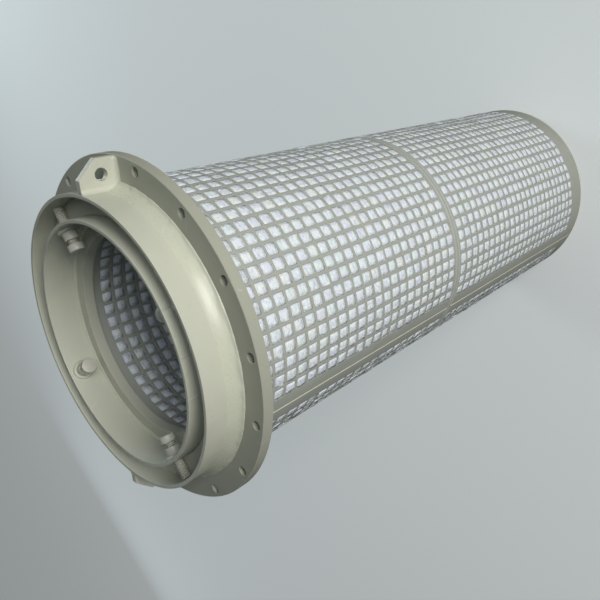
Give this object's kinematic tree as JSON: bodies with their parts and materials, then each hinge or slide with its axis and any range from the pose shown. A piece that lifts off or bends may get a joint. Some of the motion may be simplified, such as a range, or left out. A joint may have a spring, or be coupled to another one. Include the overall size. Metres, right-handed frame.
{
  "type": "fiber bed candle filter",
  "caption": "Cylindrical fiber bed mist filter: square-hole plastic cages hold a packed fibre ring under a drilled mounting flange with an open outlet neck.",
  "frame": {"origin": "centre of the closed end plate's outer face", "axes": "+Z along the candle's axis from the closed end to the open outlet neck; +X and +Y through locking screws and flange holes"},
  "size_m": [0.4999, 0.5, 1.1251],
  "materials": {
    "pp_plate": "satin polypropylene sheet",
    "pp_tube": "satin rolled polypropylene",
    "pp_cage": "satin perforated polypropylene",
    "pp_weld": "glossy extrusion weld bead",
    "pp_turned": "turned polypropylene",
    "pp_screw": "moulded polypropylene thread",
    "fibre": "packed white glass fibre"
  },
  "bodies": {
    "root": {"mounting_flange": "pp_plate", "outlet_neck": "pp_tube", "neck_fillet_weld": "pp_weld", "lifting_lug_1": "pp_plate", "lifting_lug_2": "pp_plate", "bed_seat_ring": "pp_plate", "locking_collar": "pp_tube", "collar_weld": "pp_weld", "bed_cover_ring": "pp_plate", "outer_cage_upper": "pp_cage", "outer_cage_lower": "pp_cage", "outer_joint_ring": "pp_weld", "outer_seam_upper": "pp_weld", "outer_seam_lower": "pp_weld", "inner_cage_upper": "pp_cage", "inner_cage_lower": "pp_cage", "inner_joint_ring": "pp_weld", "end_plate": "pp_plate", "end_plate_weld": "pp_weld", "fibre_bed": "fibre", "screw_boss_1": "pp_turned", "locking_screw_1": "pp_screw", "screw_boss_2": "pp_turned", "locking_screw_2": "pp_screw", "screw_boss_3": "pp_turned", "locking_screw_3": "pp_screw", "screw_boss_4": "pp_turned", "locking_screw_4": "pp_screw"}
  },
  "joints": []
}
